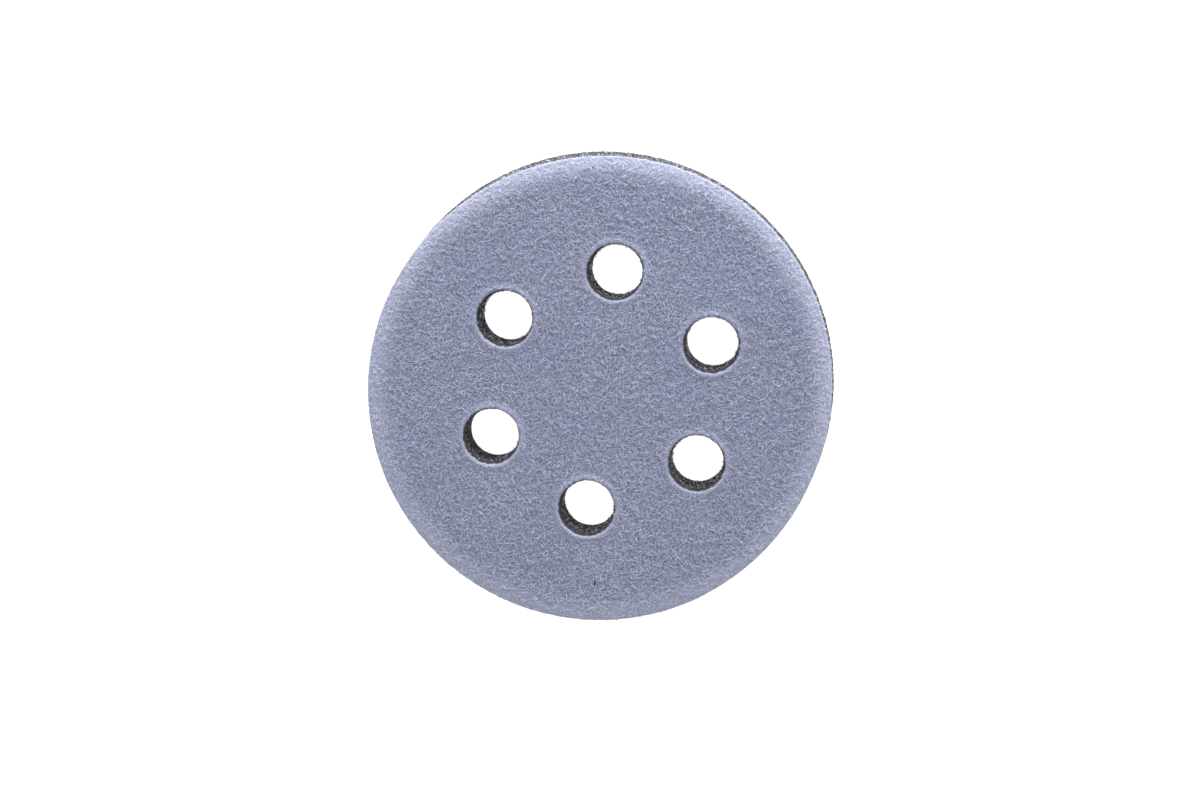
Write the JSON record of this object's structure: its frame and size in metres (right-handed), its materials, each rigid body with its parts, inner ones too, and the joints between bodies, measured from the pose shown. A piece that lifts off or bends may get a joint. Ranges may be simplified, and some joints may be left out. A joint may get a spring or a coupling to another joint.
{
  "type": "polishing pad",
  "caption": "Round laminated polishing pad with a napped fleece face, dark foam core, loop backing and through holes on a circle.",
  "frame": {"origin": "centre of the back face, which lies in the XY plane and is where the polisher's hook plate grips", "axes": "+Z along the disc's axis, out of the working face; +Y through the centre of the first hole"},
  "size_m": [0.1562, 0.1562, 0.0202],
  "materials": {
    "face_fleece": "lavender-grey napped fleece, matt with a soft sheen",
    "face_adhesive": "thin cured laminating film, dark with the foam it has soaked into",
    "foam_core": "dark grey open-cell foam, matt",
    "back_adhesive": "thin cured laminating film, dark with the foam it has soaked into",
    "loop_backing": "dark brushed loop cloth"
  },
  "bodies": {
    "root": {"face_fleece": "face_fleece", "face_adhesive": "face_adhesive", "foam_core": "foam_core", "back_adhesive": "back_adhesive", "loop_backing": "loop_backing"}
  },
  "joints": []
}
